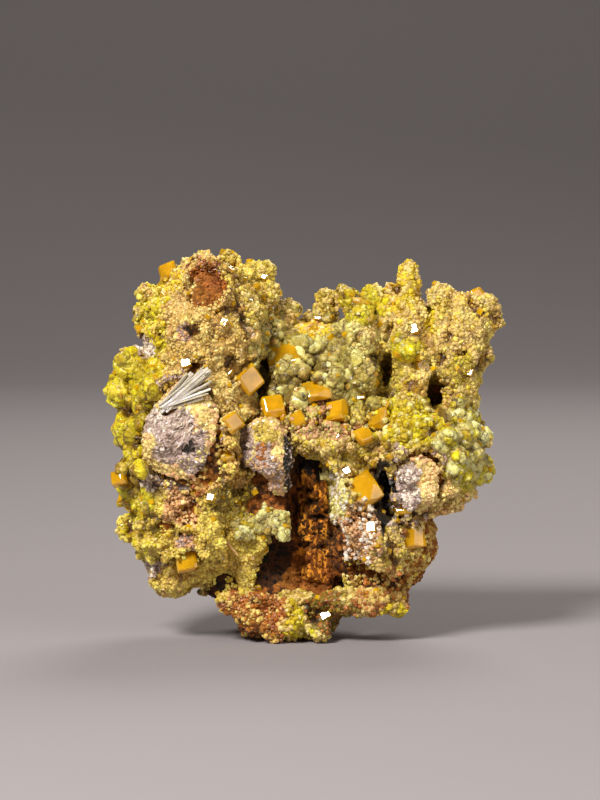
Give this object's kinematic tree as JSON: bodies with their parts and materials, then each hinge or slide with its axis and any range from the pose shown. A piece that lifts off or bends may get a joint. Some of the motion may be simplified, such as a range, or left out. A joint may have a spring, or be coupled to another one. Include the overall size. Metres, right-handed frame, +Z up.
{
  "type": "mineral specimen",
  "caption": "Palm-size mineral specimen: rusty ironstone with a broken hollow, crusted with lumpy yellow-green pyromorphite, pale quartz and small orange wulfenite tablets.",
  "frame": {"origin": "on the resting plane, below the middle of the bounding box", "axes": "+Z up, the display face towards -Y, +X to the right when facing the display face"},
  "size_m": [0.0488, 0.026, 0.0476],
  "materials": {
    "ironstone": "rough",
    "pyromorphite": "frosted",
    "quartz": "sugary",
    "cerussite": "silky",
    "wulfenite": "polished"
  },
  "bodies": {
    "root": {"matrix": "ironstone", "pyromorphite_crust": "pyromorphite", "pyromorphite_rim": "pyromorphite", "quartz_left": "quartz", "quartz_right": "quartz", "quartz_knob": "quartz", "cerussite_spray": "cerussite", "wulfenite_valley_large": "wulfenite", "wulfenite_block_edge": "wulfenite", "wulfenite_knob_top": "wulfenite", "wulfenite_knob_small": "wulfenite", "wulfenite_glint": "wulfenite", "wulfenite_ridge_large": "wulfenite", "wulfenite_vug_upper": "wulfenite", "wulfenite_vug_lower": "wulfenite", "wulfenite_olive": "wulfenite", "wulfenite_bulge": "wulfenite", "wulfenite_corner": "wulfenite", "wulfenite_left_edge": "wulfenite", "wulfenite_left_glint": "wulfenite", "wulfenite_low_left": "wulfenite", "wulfenite_shoulder": "wulfenite", "wulfenite_side_glint": "wulfenite", "wulfenite_block_tip": "wulfenite", "wulfenite_block_side": "wulfenite", "wulfenite_tower_left": "wulfenite", "wulfenite_tower_tip": "wulfenite"}
  },
  "joints": []
}
